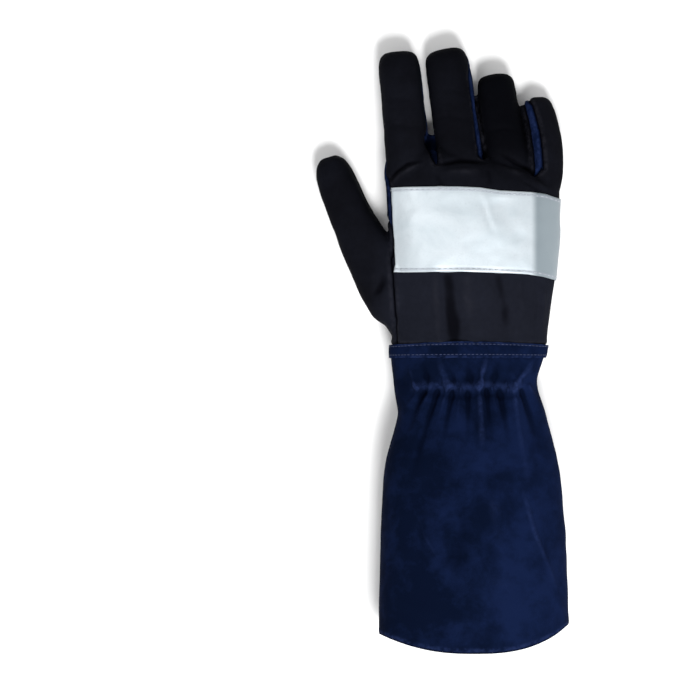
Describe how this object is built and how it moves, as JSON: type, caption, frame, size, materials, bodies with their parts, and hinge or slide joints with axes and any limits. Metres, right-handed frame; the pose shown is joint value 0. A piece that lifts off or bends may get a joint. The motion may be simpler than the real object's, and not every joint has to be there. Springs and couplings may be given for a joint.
{
  "type": "firefighter glove",
  "caption": "Right-hand firefighter's gauntlet glove lying on its palm: black cloth back with a reflective band, blue suede palm and flared cuff, elastic wrist, snap hook on a strap.",
  "frame": {"origin": "under the middle of the bounding box, on the surface that the glove lies on", "axes": "+X towards the little finger, +Y towards the fingertips, +Z out of the back of the hand"},
  "size_m": [0.1516, 0.3628, 0.0652],
  "materials": {
    "suede": "blue split leather with a soft nap, lighter where it is worn",
    "black_cloth": "black woven aramid cloth, matte",
    "reflective_tape": "silver retroreflective coated tape, satin",
    "webbing": "black woven webbing",
    "nickel": "nickel-plated, slightly dull"
  },
  "bodies": {
    "glove": {"hand_back": "black_cloth", "thumb_back": "black_cloth", "thumb_front": "suede", "fourchette_index_middle": "suede", "fourchette_middle_ring": "suede", "fourchette_ring_little": "suede", "middle_finger_front": "suede", "ring_finger_front": "suede", "hand_palm": "suede", "gauntlet_back": "suede", "gauntlet_palm": "suede", "wrist_band_back": "suede", "wrist_band_palm": "suede", "reflective_tape": "reflective_tape", "hook_strap": "webbing", "hook_eye": "nickel"},
    "hook": {"hook_body": "nickel"},
    "lever": {"hook_lever": "nickel"}
  },
  "joints": [
    {"name": "swivel", "type": "hinge", "parent": "glove", "child": "hook", "pos_m": [0.06744, -0.11893, 0.00564], "axis": [-0.1222, 0.9892, -0.0808], "continuous": true},
    {"name": "lever_pivot", "type": "hinge", "parent": "hook", "child": "lever", "pos_m": [0.06759, -0.12715, 0.00574], "axis": [-0.5517, 0, 0.834], "range_deg": [0, 24], "stiffness_Nm_per_rad": 0.012, "springref_deg": -20.05}
  ]
}
